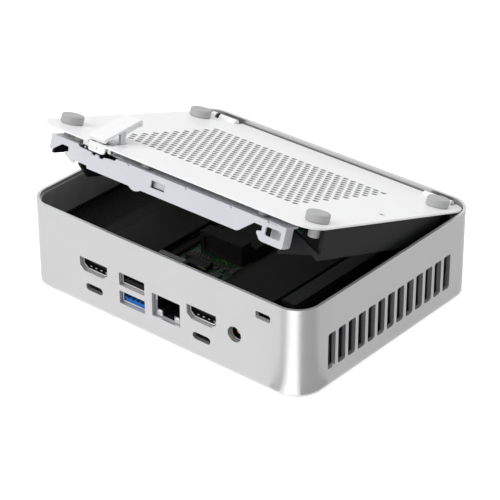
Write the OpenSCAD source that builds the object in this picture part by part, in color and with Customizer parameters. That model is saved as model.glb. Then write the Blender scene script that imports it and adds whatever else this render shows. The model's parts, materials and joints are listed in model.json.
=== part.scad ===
// Compact computer and storage enclosure, lying on its outer top face,
// with its tool-free bottom cover hinged open at the far long edge.
// x runs along the port face, the port face looks towards -y, z is up.
// Everything on the cover is drawn as it lies when closed, then swung open.

/* [Case] */
// Length along the port face
case_w = 144; // [138:1:160]
// Depth from the port face to the front face
case_d = 112; // [106:1:130]
// Height from the outer top face to the rim
case_h = 38.1; // [37:0.1:46]
// Outer radius of the four upright corners
corner_r = 10.8; // [6:0.1:14]
// Thickness of the side walls
wall = 1.9; // [1.6:0.1:2.4]
// Thickness of the rim around the cover
rim = 1.2; // [0.8:0.1:1.4]
// Thickness of the outer top
floor_t = 2; // [1.5:0.1:3]

/* [Vents] */
// Number of upright slots in each short side
vent_count = 13; // [5:1:13]
// Distance from one slot to the next
vent_pitch = 6.22; // [5.4:0.01:6.3]
// Width of a slot
vent_w = 4.5; // [3:0.1:4.8]
// Height of a slot
vent_h = 15.7; // [10:0.1:17]
// Depth of the slot centres below the ribbed side panel
vent_drop = 7.45; // [6:0.05:9]
// Shift of the slot row along the side
vent_y = -0.5; // [-4:0.1:4]
// Corner radius of a slot
vent_r = 0.8; // [0.3:0.1:1.4]

/* [Cover] */
// Thickness of the cover plate
cover_t = 0.8; // [0.7:0.1:1.2]
// Gap between the cover's short edges and the rim
cover_gap = 0.4; // [0.3:0.05:0.8]
// Depth of the closed cover's face below the rim
cover_sink = 0.6; // [0.2:0.1:1]
// Angle to which the cover stands open
cover_open = 18.8; // [0:0.1:35]
// Distance of the hinge axis from the case's front face
hinge_in = 5.7; // [5.2:0.1:7]
// Outer radius of the hinge barrels
barrel_r = 1.7; // [1.5:0.05:1.9]
// Radius of the hinge pins
hinge_pin_r = 0.9; // [0.7:0.05:1]
// Running clearance round a pin, on the radius
pin_gap = 0.1; // [0.05:0.01:0.15]
// Pitch of the round air holes
hole_pitch = 3.84; // [3.6:0.02:5]
// Diameter of an air hole
hole_d = 2.6; // [1.6:0.1:2.8]
// Columns of air holes
hole_cols = 24; // [10:1:24]
// Rows of air holes
hole_rows = 19; // [5:2:19]

/* [Feet] */
// Diameter of a foot
foot_d = 9.3; // [8:0.1:12]
// Height of a foot above the cover
foot_h = 3.5; // [2:0.1:6]
// Radius of the stem that holds a foot
stem_r = 2.35; // [1.5:0.05:2.8]
// Length of the stem below the plate
stem_len = 5.5; // [2:0.1:6]
// Distance of the foot centres from the case's short sides
foot_side = 9.1; // [9:0.1:14]
// Distance of the foot centres from the case's long sides
foot_end = 15; // [14.5:0.1:16.5]

/* [Latch] */
// Thickness of the latch rail's sheet metal
rail_t = 0.7; // [0.6:0.1:1]
// Height of the rail's long face
rail_h = 8.1; // [7.8:0.1:8.3]
// Depth of the rail's inward flange
rail_flange = 7.4; // [6.8:0.1:7.6]
// Travel of the rail
rail_travel = 1.8; // [1:0.1:1.8]
// Radius of the catch pins on the case
catch_r = 0.7; // [0.5:0.1:0.7]
// Width of the lever
lever_w = 8.7; // [8.3:0.1:9.2]
// Length of the lever's arm, from its pivot to its tip
lever_len = 20; // [16:0.1:23]
// Thickness of the lever's top plate
lever_t = 1.1; // [0.9:0.1:1.4]
// Angle of the raised lever
lever_open = 21; // [0:0.5:21]

/* [Ports] */
// Depth of the display sockets' centres below the main board
port_drop = 4.25; // [4.2:0.05:4.6]
// Height of the two small oval ports above the case floor
oval_rise = 6.8; // [6.4:0.1:7.2]
// Centre of the left pair of display and oval ports
port_left_x = -34.85; // [-38:0.05:-32]
// Centre of the right pair of display and oval ports
port_right_x = 22.35; // [21:0.05:24]
// Centre of the stacked ports
stack_x = -14.1; // [-16:0.1:-12]
// Centre of the network port
lan_x = 3.95; // [2:0.05:5]
// Centre of the round power inlet
power_x = 39.05; // [37:0.05:41]
// Depth of the round power inlet's centre below the main board
power_drop = 5.55; // [5:0.05:7]
// Radius of the round power inlet
power_r = 3.35; // [3:0.05:3.6]
// Distance of the lock slot's centre from the case's right side
lock_side = 18.9; // [17:0.1:22]
// Depth of the lock slot's centre below the rim
lock_drop = 7.35; // [6.1:0.05:8]

/* [Inside] */
// Thickness of the main board
board_t = 1.6; // [1:0.1:2]
// Depth of the main board's upper face below the closed cover's face
board_drop = 13; // [12.5:0.1:13.5]
// Step from the main board down to the ribbed side panel
panel_step = 2.1; // [2:0.1:3]
// Pitch of the fine ribs
rib_pitch = 1.2; // [1:0.05:2]
// Radius of the fan rotor
fan_r = 28; // [20:0.5:28]
// Number of fan blades
blade_count = 29; // [9:1:31]
// Number of gaps in the fin stack
fin_gaps = 34; // [10:1:36]
// Thickness of a fin
fin_t = 0.4; // [0.3:0.05:0.8]
// Radius of a heat pipe
pipe_r = 2.5; // [2:0.1:2.6]

/* [Hidden] */
$fn = 48;

aluminium = [0.80, 0.80, 0.81];
white = [0.96, 0.96, 0.96];
black = [0.11, 0.11, 0.12];
steel = [0.75, 0.77, 0.80];
rail_grey = [0.87, 0.88, 0.90];
foot_grey = [0.66, 0.66, 0.66];
green = [0.05, 0.32, 0.12];
copper = [0.75, 0.45, 0.28];
brass = [0.80, 0.68, 0.40];
blue = [0.12, 0.38, 0.75];
dark_grey = [0.22, 0.22, 0.23];

// small clearances
eps = 0.1;
fit_gap = 0.1;
air_gap = 0.3;

half_w = case_w / 2;
half_d = case_d / 2;
inner_y = half_d - wall;
inner_x = half_w - wall;
lock_x = half_w - lock_side;
lock_z = case_h - lock_drop;

// cover, in its closed place
cover_top = case_h - cover_sink;
cover_low = cover_top - cover_t;
cover_w = case_w - 2 * (rim + cover_gap);
cover_near = -half_d + rim + cover_gap;
cover_far = half_d - rim - cover_gap - 0.2;
cover_r = corner_r - rim - cover_gap;
hinge_y = half_d - hinge_in;
hinge_z = cover_top;
far_relief = 5;
foot_x = half_w - foot_side;
foot_y = half_d - foot_end;

// hinge barrels, from the middle outwards
barrel_out = half_w - 8.4;
barrel_mid = barrel_out - 4.6;
barrel_in = barrel_mid - 9;
tongue_gap = 0.4;
tongue_t = 1.2;
tongue_x = barrel_mid + tongue_gap;

// catches and rail
rail_y = -half_d + 2.8;
rail_top = cover_top - 3.5;
rail_low = rail_top - rail_h;
rail_dx = -0.85;
rail_left = -half_w + 11 + rail_dx;
rail_right = half_w - 12.8 + rail_dx;
catch_z = rail_low + 4.3;
catch_x = [rail_left + 6.8, rail_right - 14.3];
guide_y = rail_y + 4.2;
guide_shank = 1.1;
guide_head = 2.3;

// lever, in its closed place
lever_x = -half_w + 34.65;
lever_y = -half_d + 4.9;
lever_z = cover_top - 2.1;
lever_pin_r = 0.75;
lever_face = lever_y - 2.15;
lever_top = cover_top + 3.4;
ear_r = 1.3;
ear_t = 1.2;
lug_r = 1.3;
lug_t = 1.4;
lug_long = 3.8;
notch_gap = 0.35;
notch_end = lever_y + 4.5;
tab_face = -half_d + 2.25;
tab_t = 0.8;
tab_low = lever_z - 1.85;
cam_x = lever_x + 3.25;
slit_y = lever_y + 6.5;

// threaded inserts for a wall bracket
bracket_x = half_w - 7.3;
bracket_y = -1;
insert_r = 2.3;
insert_bore = 1.25;
insert_len = 4;

// board and frame
board_z = cover_top - board_drop;
board_low = board_z - board_t;
panel_z = board_z - panel_step;
vent_z = panel_z - vent_drop;
board_left = port_left_x - 9.75;
board_right = inner_x - 8.1;
board_far = inner_y - 10.1;
spread = (board_right - board_left) / 106.6;
corner_x = board_right - 16;
corner_y = -inner_y + 15.7;
board_holes = [[board_left + 4.1, -inner_y + 16.1], [board_left + 4.1, board_far - 6],
  [board_right - 3.5, board_far - 2.8], [board_right - 7, -inner_y + 20.1]];
frame_t = 1.5;
plate_z = board_z + frame_t;
channel_left = board_left - 3.6;
side_right = inner_x - 5.5;
rib_wall_x = board_left - 2.4;
guide_x = [rib_wall_x - 3.5, lever_x + 22.85, rail_right - 14.35];
rib_wall_t = 1.5;
rib_wall_low = board_z - 4.1;

// connectors
sock_wall = 0.4;
hdmi_w = 15;
hdmi_h = 6;
hdmi_len = 11;
oval_w = 9.2;
oval_h = 3.2;
oval_len = 9;
usb_w = 13.6;
usb_h = 5.8;
usb_len = 15;
port_high_z = board_low - port_drop;
port_low_z = floor_t + oval_rise;
power_z = board_low - power_drop;
usb_high_z = port_high_z + 0.65;
usb_low_z = usb_high_z - 8.4;
lan_w = 14.7;
lan_h = 10.5;
lan_z = board_low - 8.6;
lan_len = 13.5;
sock_y = -inner_y;

front_usb_x = [-6, 14];
front_c_x = 30;
front_z = board_low - usb_h / 2 - sock_wall;
front_c_z = board_low - oval_h / 2 - sock_wall;
button_x = -half_w + 19;
button_z = hinge_z - 20;
button_r = 5.2;
button_proud = 0.4;
button_t = 2.6;
switch_y = board_far + 1.1;
light_x = button_x + 15;
light_r = 0.8;

// cooling
fan_gap = 3;
housing_t = 1;
shaft_r = 1.5;
hub_r = 11;
blade_t = 0.8;
fin_left = inner_x - 11.6;
fin_right = inner_x - 0.6;
fin_near = -inner_y + 18.1;
fin_far = inner_y - 18.1;
fin_low = floor_t + 1;
fin_high = panel_z - frame_t - air_gap;
pipe_z = board_low - pipe_r - 3.7;
fan_x = fin_left - 42.5;
fan_y = 6;
fan_low = floor_t + 1;
fan_h = pipe_z - pipe_r - 0.6 - fan_low;
pipe_x = (fin_left + fin_right) / 2;
pipe_near_y = 0;
pipe_far_y = 12;
bend_r = 8;
chip_x = board_left + 16.6;
chip_t = 1.4;

// storage and memory
ssd_w = 22;
ssd_x = board_left + 21.3 * spread;
ssd_near = -inner_y + 11.6;
ssd_len = board_far - ssd_near - 6.5;
ssd_z = board_z + 1.4;
ssd_t = 0.8;
ssd_chip = 1.1;
heatsink_t = 1.3;
memory_left = board_right - 37.6;
spare_x = (ssd_x + ssd_w / 2 + memory_left) / 2 - 0.25;
spare_w = 21.5 * spread;
spare_y = -inner_y + 29.1;
spare_depth = 6;
spare_top = board_z + 9;
memory_len = 69.6;
memory_w = 30;
memory_near = -inner_y + 15.3;
memory_grip = 4.2;
memory_z = board_z + 1.7;
memory_step = 1.9;
memory_sock_w = 6.4;

// helpers

// swing what is drawn closed to where the open cover stands
module on_cover() {
  translate([0, hinge_y, hinge_z]) rotate([-cover_open, 0, 0])
    translate([0, -hinge_y, -hinge_z]) children();
}

// raise what is drawn on the closed lever
module on_lever() {
  on_cover() translate([0, lever_y, lever_z]) rotate([lever_open, 0, 0])
    translate([0, -lever_y, -lever_z]) children();
}

// a plate in the x-z plane, from y0 to y0 + t
module xz_plate(y0, t) {
  translate([0, y0 + t, 0]) rotate([90, 0, 0]) linear_extrude(t) children();
}

// a plate in the y-z plane, from x0 to x0 + t
module yz_plate(x0, t) {
  translate([x0, 0, 0]) rotate([90, 0, 90]) linear_extrude(t) children();
}

// a block given by its low and high corners
module block(low, high) {
  translate(low) cube(high - low);
}

// a cylinder along x, from x0 to x1
module x_rod(x0, x1, y, z, r) {
  translate([x0, y, z]) rotate([0, 90, 0]) cylinder(h = x1 - x0, r = r);
}

// a cylinder along y, from y0 to y1
module y_rod(x, y0, y1, z, r) {
  translate([x, y1, z]) rotate([90, 0, 0]) cylinder(h = y1 - y0, r = r);
}

// a rectangle with round corners, about its centre
module round_rect(w, d, r) {
  square([w - 2 * r, d], center = true);
  square([w, d - 2 * r], center = true);
  for (sx = [-1, 1], sy = [-1, 1])
    translate([sx * (w / 2 - r), sy * (d / 2 - r)]) circle(r);
}

// the display socket's outline, wide side up, grown by g
module hdmi_outline(g) {
  w = hdmi_w / 2 + g;
  h = hdmi_h / 2 + g;
  polygon([[-w, h], [w, h], [w, -h + 2.1], [w - 2.4, -h], [-w + 2.4, -h], [-w, -h + 2.1]]);
}

module oval_outline(g) {
  round_rect(oval_w + 2 * g, oval_h + 2 * g, oval_h / 2 + g - 0.01);
}

// case

module vent_slots() {
  for (i = [0 : vent_count - 1])
    translate([vent_y + (i - (vent_count - 1) / 2) * vent_pitch, vent_z])
      round_rect(vent_w, vent_h, vent_r);
}

module port_holes() {
  for (x = [port_left_x, port_right_x]) {
    translate([x, port_high_z]) hdmi_outline(0);
    translate([x, port_low_z]) oval_outline(0);
  }
  for (z = [usb_high_z, usb_low_z]) translate([stack_x, z]) round_rect(usb_w, usb_h, 0.3);
  translate([lan_x, lan_z]) round_rect(lan_w, lan_h, 0.3);
  translate([power_x, power_z]) circle(power_r);
  translate([lock_x, lock_z]) round_rect(7.2, 3.1, 0.9);
}

module front_holes() {
  for (x = front_usb_x) translate([x, front_z]) round_rect(usb_w, usb_h, 0.3);
  translate([front_c_x, front_c_z]) oval_outline(0);
  translate([button_x, button_z]) circle(button_r + air_gap);
  translate([light_x, button_z]) circle(light_r + fit_gap / 2);
}

module outer_shell() {
  color(aluminium) difference() {
    linear_extrude(case_h) round_rect(case_w, case_d, corner_r);
    translate([0, 0, floor_t]) linear_extrude(case_h)
      round_rect(case_w - 2 * wall, case_d - 2 * wall, corner_r - wall);
    translate([0, 0, cover_low]) linear_extrude(case_h)
      round_rect(case_w - 2 * rim, case_d - 2 * rim, corner_r - rim);
    translate([0, 0, case_h - far_relief]) linear_extrude(case_h) intersection() {
      round_rect(case_w - 2 * rim, case_d - 2 * rim, corner_r - rim);
      translate([-half_w, half_d - corner_r]) square([case_w, corner_r]);
    }
    yz_plate(-half_w - 1, case_w + 2) vent_slots();
    xz_plate(-half_d - 1, wall + 2) port_holes();
    xz_plate(inner_y - 1, wall + 2) front_holes();
  }
}

module frame_post(x, y, top) {
  translate([x, y, floor_t]) cylinder(h = top - floor_t, r = 2.8);
}

module frame_body() {
  rib_h = 0.5;
  rib_near = -inner_y + 0.6;
  rib_far = board_far;
  slab_low = panel_z - frame_t;
  // ribbed low panel along the left wall
  yz_plate(-inner_x + air_gap, channel_left + inner_x - air_gap) polygon(concat(
    [[rib_near, slab_low], [rib_near, panel_z - rib_h]],
    [for (y = [rib_near : rib_pitch : rib_far - rib_pitch], p = [[0.2, 0], [0.8, 0], [0.9, -1], [1.1, -1]])
      [y + rib_pitch * p[0], panel_z + rib_h * p[1]]],
    [[rib_far, panel_z - rib_h], [rib_far, slab_low]]));
  block([channel_left - 0.7, rib_near, slab_low], [channel_left, rib_far, panel_z + 0.8]);
  // low lips that stand above the vents
  for (sx = [-1, 1]) block([min(sx * (inner_x - 1.3), sx * (inner_x - air_gap)), rib_near, slab_low],
    [max(sx * (inner_x - 1.3), sx * (inner_x - air_gap)), rib_far, panel_z + 0.8]);
  // high plate on the main board
  block([board_left, -inner_y + 2.6, board_z], [side_right - 0.6, board_far, plate_z]);
  // step down to the low ledge along the right wall
  block([side_right - 2, fin_near, slab_low], [side_right - 0.6, board_far, plate_z]);
  block([side_right - 2, fin_near, slab_low], [inner_x - air_gap, board_far, panel_z]);
  // bridges over the channel at its two ends
  block([channel_left - 0.7, rib_far - 3, slab_low], [board_left + 1, rib_far, panel_z - 3.5 + frame_t]);
  block([channel_left - 0.7, rib_far - 3, slab_low - 3], [board_left + 1, rib_far, slab_low]);
  block([board_left - 0.4, rib_far - 3, slab_low - 3], [board_left - 0.05, rib_far, plate_z]);
  block([board_left - 0.4, rib_far - 3, board_z], [board_left + 1, rib_far, plate_z]);
  for (p = [[-inner_x + 8.1, -inner_y + 8.1], [-inner_x + 8.1, board_far - 6], [channel_left - 5.8, 0]])
    frame_post(p[0], p[1], slab_low + 0.5);
}

module mid_frame() {
  slab_low = panel_z - frame_t;
  color(black) difference() {
    intersection() {
      linear_extrude(case_h) round_rect(case_w - 2 * wall - 2 * air_gap, case_d - 2 * wall - 0.6,
        corner_r - wall - air_gap);
      frame_body();
    }
    // windows over the drive, the spare slot and the memory
    block([ssd_x - ssd_w / 2 - 0.7, -inner_y, board_z - 1], [ssd_x + ssd_w / 2 + 0.7, board_far - 1,
      plate_z + 1]);
    block([spare_x - spare_w / 2 - 3.6, -inner_y, board_z - 1], [spare_x + spare_w / 2 + 2.9,
      board_far - 5.5, plate_z + 1]);
    block([memory_left - 1.2, memory_near - 3, board_z - 1], [memory_left + memory_w + 4,
      memory_near + memory_len + 4, plate_z + 1]);
    block([corner_x, -inner_y, slab_low - 1], [side_right, corner_y, plate_z + 1]);
    block([channel_left - 4, -inner_y, panel_z - 5], [channel_left + 4, -inner_y + 4.1, plate_z]);
  }
}

module main_board() {
  color(green) difference() {
    block([board_left, -inner_y, board_low], [board_right, board_far, board_z]);
    block([corner_x, -half_d, board_low - 1], [board_right + 1, corner_y, board_z + 1]);
    for (p = board_holes) translate([p[0], p[1], board_low - 1]) cylinder(h = board_t + 2, r = 1.6);
  }
}

module board_screws() {
  color(steel) for (p = board_holes) {
    translate([p[0], p[1], floor_t]) cylinder(h = board_low - floor_t, r = 2.4, $fn = 6);
    translate([p[0], p[1], board_low]) cylinder(h = board_t, r = 1.5);
  }
}

module hdmi_socket(x) {
  color(steel) difference() {
    xz_plate(sock_y, hdmi_len) translate([x, port_high_z]) hdmi_outline(sock_wall);
    xz_plate(sock_y - 1, hdmi_len) translate([x, port_high_z]) hdmi_outline(-sock_wall);
  }
}

module hdmi_tongue(x) {
  color(black) block([x - 5.6, sock_y + 1.4, port_high_z - 0.6], [x + 5.6, sock_y + hdmi_len - 1,
    port_high_z + 0.7]);
}

module usb_c_socket(x, z, y, len) {
  color(steel) difference() {
    xz_plate(y, len) translate([x, z]) oval_outline(sock_wall);
    xz_plate(y - 1, len) translate([x, z]) oval_outline(-0.25);
  }
  color(black) block([x - 3.3, y + 1.2, z - 0.35], [x + 3.3, y + len - 1, z + 0.35]);
}

module usb_a_shell(x, z, y, len) {
  difference() {
    block([x - usb_w / 2 - sock_wall, y, z - usb_h / 2 - sock_wall],
      [x + usb_w / 2 + sock_wall, y + len, z + usb_h / 2 + sock_wall]);
    block([x - usb_w / 2 + sock_wall, y - 1, z - usb_h / 2 + sock_wall],
      [x + usb_w / 2 - sock_wall, y + len - 1, z + usb_h / 2 - sock_wall]);
  }
}

module usb_a_stack() {
  web_low = usb_low_z + usb_h / 2;
  web_high = usb_high_z - usb_h / 2;
  color(steel) {
    usb_a_shell(stack_x, usb_high_z, sock_y, usb_len);
    usb_a_shell(stack_x, usb_low_z, sock_y, usb_len);
    block([stack_x - usb_w / 2, sock_y, web_low], [stack_x + usb_w / 2, sock_y + usb_len, web_high]);
    block([stack_x - usb_w / 2, sock_y + 1, web_high + usb_h], [stack_x + usb_w / 2, sock_y + usb_len,
      board_low]);
  }
}

module usb_tongue(z) {
  block([stack_x - 5.6, sock_y + 1.6, z - 2.1], [stack_x + 5.6, sock_y + usb_len - 1, z - 0.3]);
}

module lan_socket() {
  color(dark_grey) difference() {
    block([lan_x - lan_w / 2 - 0.6, sock_y, lan_z - lan_h / 2 - 0.6],
      [lan_x + lan_w / 2 + 0.6, sock_y + lan_len, board_low]);
    xz_plate(sock_y - 1, lan_len - 1) translate([lan_x, lan_z]) {
      translate([-5.9, -2.3]) square([11.8, 7]);
      translate([-3.1, -4.6]) square([6.2, 4]);
    }
  }
}

module power_inlet() {
  color(black) difference() {
    block([power_x - 4.4, sock_y, power_z - 4.4], [power_x + 4.4, sock_y + 12, board_low]);
    y_rod(power_x, sock_y - 1, sock_y + 10, power_z, power_r - 0.25);
  }
}

module power_inlet_pin() {
  color(brass) y_rod(power_x, sock_y + 1.2, sock_y + 10, power_z, 1.2);
}

// the moulded body that carries a display socket and the oval port below it
module port_block(x) {
  color(black) difference() {
    block([x - hdmi_w / 2 - 1.2, sock_y + 1, port_low_z - 3], [x + hdmi_w / 2 + 1.2,
      sock_y + hdmi_len + 1.5, board_low]);
    xz_plate(sock_y, hdmi_len) translate([x, port_high_z]) hdmi_outline(sock_wall);
    xz_plate(sock_y, oval_len) translate([x, port_low_z]) oval_outline(sock_wall);
  }
}

module front_usb(x) {
  color(steel) mirror([0, 1, 0]) usb_a_shell(x, front_z, -inner_y, usb_len - 2);
  color(black) block([x - 5.6, inner_y - usb_len + 3, front_z - 2.1], [x + 5.6, inner_y - 1.6,
    front_z - 0.3]);
}

module front_usb_c() {
  mirror([0, 1, 0]) usb_c_socket(front_c_x, front_c_z, -inner_y, oval_len + 2);
}

module power_button() {
  stem_end = switch_y - 0.8;
  color(aluminium) {
    y_rod(button_x, half_d + button_proud - button_t, half_d + button_proud, button_z, button_r);
    y_rod(button_x, stem_end, half_d + button_proud - button_t, button_z, 1.2);
    y_rod(button_x, inner_y - 0.8, inner_y, button_z, button_r + 1);
  }
}

module power_switch() {
  color(black) difference() {
    block([button_x - 3, switch_y - 4.6, floor_t], [button_x + 3, switch_y, button_z + 3]);
    block([button_x - 4, switch_y - 2.6, floor_t + 1], [button_x + 4, switch_y + 1, button_z - 3]);
    y_rod(button_x, switch_y - 2.4, switch_y + 1, button_z, 1.2 + air_gap);
  }
}

module status_light() {
  color(white) {
    y_rod(light_x, inner_y, half_d, button_z, light_r);
    y_rod(light_x, inner_y - 1.5, inner_y, button_z, light_r + 0.8);
  }
}

// cooling

module fan_outline(g) {
  r = fan_r + fan_gap + g;
  translate([fan_x, fan_y]) circle(r);
  translate([fan_x, fan_y - r]) square([fin_left - air_gap - fan_x, 2 * r]);
}

module fan_housing() {
  color(black) difference() {
    translate([0, 0, fan_low]) linear_extrude(fan_h) fan_outline(housing_t);
    translate([0, 0, fan_low + housing_t]) linear_extrude(fan_h - 2 * housing_t) difference() {
      union() {
        fan_outline(0);
        translate([fin_left - 2, fan_y - fan_r - fan_gap]) square([4, 2 * (fan_r + fan_gap)]);
      }
      translate([fan_x, fan_y]) circle(shaft_r);
    }
    translate([fan_x, fan_y, fan_low + fan_h - housing_t - 1]) cylinder(h = 3, r = fan_r * 0.72);
  }
  // feet that stand the housing on the case floor
  color(black) for (a = [60, 180, 300])
    translate([fan_x + 24 * cos(a), fan_y + 24 * sin(a), floor_t]) cylinder(h = fan_low - floor_t, r = 2);
}

module fan_rotor() {
  rotor_low = fan_low + housing_t + 0.8;
  rotor_h = fan_h - 2 * housing_t - 1.6;
  color(dark_grey) translate([fan_x, fan_y, rotor_low]) difference() {
    union() {
      cylinder(h = rotor_h, r = hub_r);
      cylinder(h = 0.8, r = fan_r - 2);
      for (i = [0 : blade_count - 1]) rotate([0, 0, i * 360 / blade_count])
        translate([hub_r - 1, -blade_t / 2, 0]) cube([fan_r - hub_r + 1, blade_t, rotor_h]);
    }
    translate([0, 0, -1]) cylinder(h = rotor_h + 2, r = shaft_r + pin_gap);
  }
}

// a pipe's path: along x, round a bend, then along y through the fins
module pipe_path(y, side, y_end, r) {
  y_turn = y + side * bend_r;
  x_rod(chip_x - 14, pipe_x - bend_r, y, pipe_z, r);
  translate([pipe_x - bend_r, y_turn, pipe_z]) mirror([0, side > 0 ? 1 : 0, 0])
    rotate_extrude(angle = 90) translate([bend_r, 0]) circle(r);
  y_rod(pipe_x, min(y_turn, y_end), max(y_turn, y_end), pipe_z, r);
}

module fin_stack() {
  gap = ((fin_far - fin_near) - (fin_gaps + 1) * fin_t) / fin_gaps;
  color(steel) difference() {
    block([fin_left, fin_near, fin_low], [fin_right, fin_far, fin_high]);
    for (i = [0 : fin_gaps - 1])
      block([fin_left - 1, fin_near + fin_t + i * (gap + fin_t), fin_low + fin_t],
        [fin_right + 1, fin_near + (i + 1) * (gap + fin_t), fin_high - fin_t]);
    pipe_path(pipe_near_y, -1, fin_near - 1, pipe_r + fit_gap);
    pipe_path(pipe_far_y, 1, fin_far + 1, pipe_r + fit_gap);
  }
}

module heat_pipe(y, side, y_end) {
  color(copper) pipe_path(y, side, y_end, pipe_r);
}

// the pipes lie in its grooves
module cold_plate() {
  color(copper) difference() {
    block([chip_x - 16, pipe_near_y - 8, pipe_z + pipe_r - 0.8], [chip_x + 16, pipe_far_y + 8,
      board_low - chip_t]);
    for (y = [pipe_near_y, pipe_far_y]) x_rod(chip_x - 17, chip_x + 17, y, pipe_z, pipe_r);
  }
}

module processor() {
  color(dark_grey) block([chip_x - 14, pipe_near_y - 6, board_low - chip_t], [chip_x + 14,
    pipe_far_y + 6, board_low]);
}

// storage, memory and radio

module ssd() {
  color(green) difference() {
    block([ssd_x - ssd_w / 2, ssd_near, ssd_z], [ssd_x + ssd_w / 2, ssd_near + ssd_len, ssd_z + ssd_t]);
    translate([ssd_x, ssd_near, ssd_z - 1]) cylinder(h = 3, r = 1.75);
  }
  color(dark_grey) for (y = [8, 28, 52])
    block([ssd_x - 8, ssd_near + y, ssd_z + ssd_t], [ssd_x + 8, ssd_near + y + 14,
      ssd_z + ssd_t + ssd_chip]);
}

module ssd_heatsink() {
  low = ssd_z + ssd_t + ssd_chip;
  color(black) block([ssd_x - ssd_w / 2 - 0.2, ssd_near - 2.3, low],
    [ssd_x + ssd_w / 2 + 0.2, ssd_near + ssd_len - 6, low + heatsink_t]);
}

module ssd_socket() {
  far = ssd_near + ssd_len;
  color(black) difference() {
    block([ssd_x - 11, far - 4, board_z], [ssd_x + 11, far + 4.4, ssd_z + 2.2]);
    block([ssd_x - 12, far - 5, ssd_z - fit_gap], [ssd_x + 12, far + fit_gap, ssd_z + ssd_t + fit_gap]);
  }
}

module ssd_screw() {
  color(steel) translate([ssd_x, ssd_near, board_z]) {
    cylinder(h = ssd_z - board_z, r = 2.6);
    cylinder(h = ssd_z + ssd_t - board_z, r = 1.6);
    translate([0, 0, ssd_z + ssd_t - board_z]) cylinder(h = 0.9, r = 2.4);
  }
}

module spare_ssd_socket() {
  color(black) {
    difference() {
      block([spare_x - spare_w / 2, spare_y, board_z], [spare_x + spare_w / 2, spare_y + spare_depth,
        spare_top]);
      block([spare_x - spare_w / 2 + 2, spare_y - 1, board_z + 1.6], [spare_x + spare_w / 2 - 1.2,
        spare_y + 1, spare_top - 2]);
      block([spare_x - spare_w / 2 + 0.75, spare_y + spare_depth - 3, spare_top - 2.6],
        [spare_x + spare_w / 2 - 0.75, spare_y + spare_depth + 1, spare_top - 1.4]);
    }
    block([spare_x - spare_w / 2 + 3, spare_y + spare_depth, board_z], [spare_x + spare_w / 2 + 2.4,
      spare_y + spare_depth + 16, spare_top - 2.4]);
  }
}

// low socket on the board, with a raised bar beside the drive
module ribbon_connector() {
  x = spare_x - 10.8;
  bar_y = spare_y - 17.5;
  color(black) {
    block([x, spare_y - 9.2, board_z], [x + 13, spare_y - 7.2, board_z + 2.6]);
    block([x + 3, spare_y - 12.6, board_z], [x + 13, spare_y - 9.2, board_z + 1.9]);
  }
  color(dark_grey) {
    block([ssd_x + ssd_w / 2 + 0.5, bar_y, plate_z + 0.05], [spare_x - 4.8, bar_y + 2.2, board_z + 4.5]);
    block([spare_x - 12, bar_y, board_z], [spare_x - 4.8, bar_y + 2.2, plate_z + 0.1]);
    block([x + 3, bar_y + 2.1, board_z], [x + 5, spare_y - 12.5, board_z + 1.9]);
  }
}

module memory_module(z) {
  color(green) block([memory_left, memory_near, z], [memory_left + memory_w, memory_near + memory_len,
    z + 1]);
  color(dark_grey) for (y = [4, 20.6, 37, 53.6])
    block([memory_left + 3, memory_near + y, z + 1], [memory_left + 22, memory_near + y + 12, z + 1.7]);
}

module memory_socket() {
  left = memory_left + memory_w - memory_grip;
  for (y = [memory_near - 2.4, memory_near + memory_len + 0.9])
    color(steel) block([memory_left + 4, y, board_z], [left + 1, y + 1.5, memory_z + memory_step + 1.4]);
  color(black) difference() {
    block([left, memory_near - 2.4, board_z], [left + memory_grip + 2.4, memory_near + memory_len + 2.4,
      memory_z + memory_step + 2.2]);
    for (z = [memory_z, memory_z + memory_step])
      block([left - 1, memory_near - fit_gap, z - 0.05], [left + memory_grip + fit_gap,
        memory_near + memory_len + fit_gap, z + 1.05]);
  }
}

module memory_shield() {
  near = memory_near - 8.6;
  far = memory_near + memory_len + 4.7;
  low = memory_z + memory_step + 2.3;
  right = memory_left + memory_w - memory_grip - 0.8;
  color(black) {
    block([memory_left + 1.6, near, low], [right, far, low + 0.6]);
    for (y = [near, far - 0.6]) block([memory_left + 1.6, y, plate_z], [right - 6, y + 0.6, low + 0.1]);
  }
}

module wireless_card() {
  y = board_far - 30;
  color(green) block([spare_x - 9.8, y, board_z + 1.4], [spare_x + 12.2, y + 20, board_z + 2.2]);
  color(steel) block([spare_x - 7.8, y + 2, board_z + 2.2], [spare_x + 10.2, y + 17, board_z + 3.6]);
  color(black) block([spare_x - 9.3, y + 17.5, board_z], [spare_x + 11.7, y + 23, board_z + 1.4]);
  color(steel) translate([spare_x + 1.2, y + 1.5, board_z]) cylinder(h = 1.4, r = 2.4);
}

module coin_cell() {
  color(steel) translate([spare_x + 5, board_far - 26, board_low - 3.4]) cylinder(h = 3.4, r = 8);
}

// hinge and catches on the case

module hinge_bracket() {
  tongue_x1 = tongue_x + tongue_t;
  color(black) difference() {
    union() {
      yz_plate(tongue_x, tongue_t) difference() {
        union() {
          translate([hinge_y, hinge_z]) circle(barrel_r);
          translate([hinge_y - barrel_r, hinge_z - 9]) square([2 * barrel_r, 9]);
          translate([hinge_y - barrel_r, hinge_z - 12.5]) square([inner_y - hinge_y + barrel_r, 5]);
        }
        translate([hinge_y, hinge_z]) circle(hinge_pin_r + pin_gap);
      }
      block([tongue_x - 4.4, inner_y - 1.2, hinge_z - 12.5], [tongue_x1, inner_y, hinge_z - 7.5]);
    }
    y_rod(tongue_x - 2.4, inner_y - 3, inner_y + 1, hinge_z - 10, 0.8);
  }
}

module catch_pins() {
  color(steel) for (x = catch_x) {
    y_rod(x, -inner_y, rail_y + rail_t + 0.5, catch_z, catch_r);
    y_rod(x, -inner_y, -inner_y + 0.5, catch_z, catch_r + 1.2);
  }
}

// cover

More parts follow.
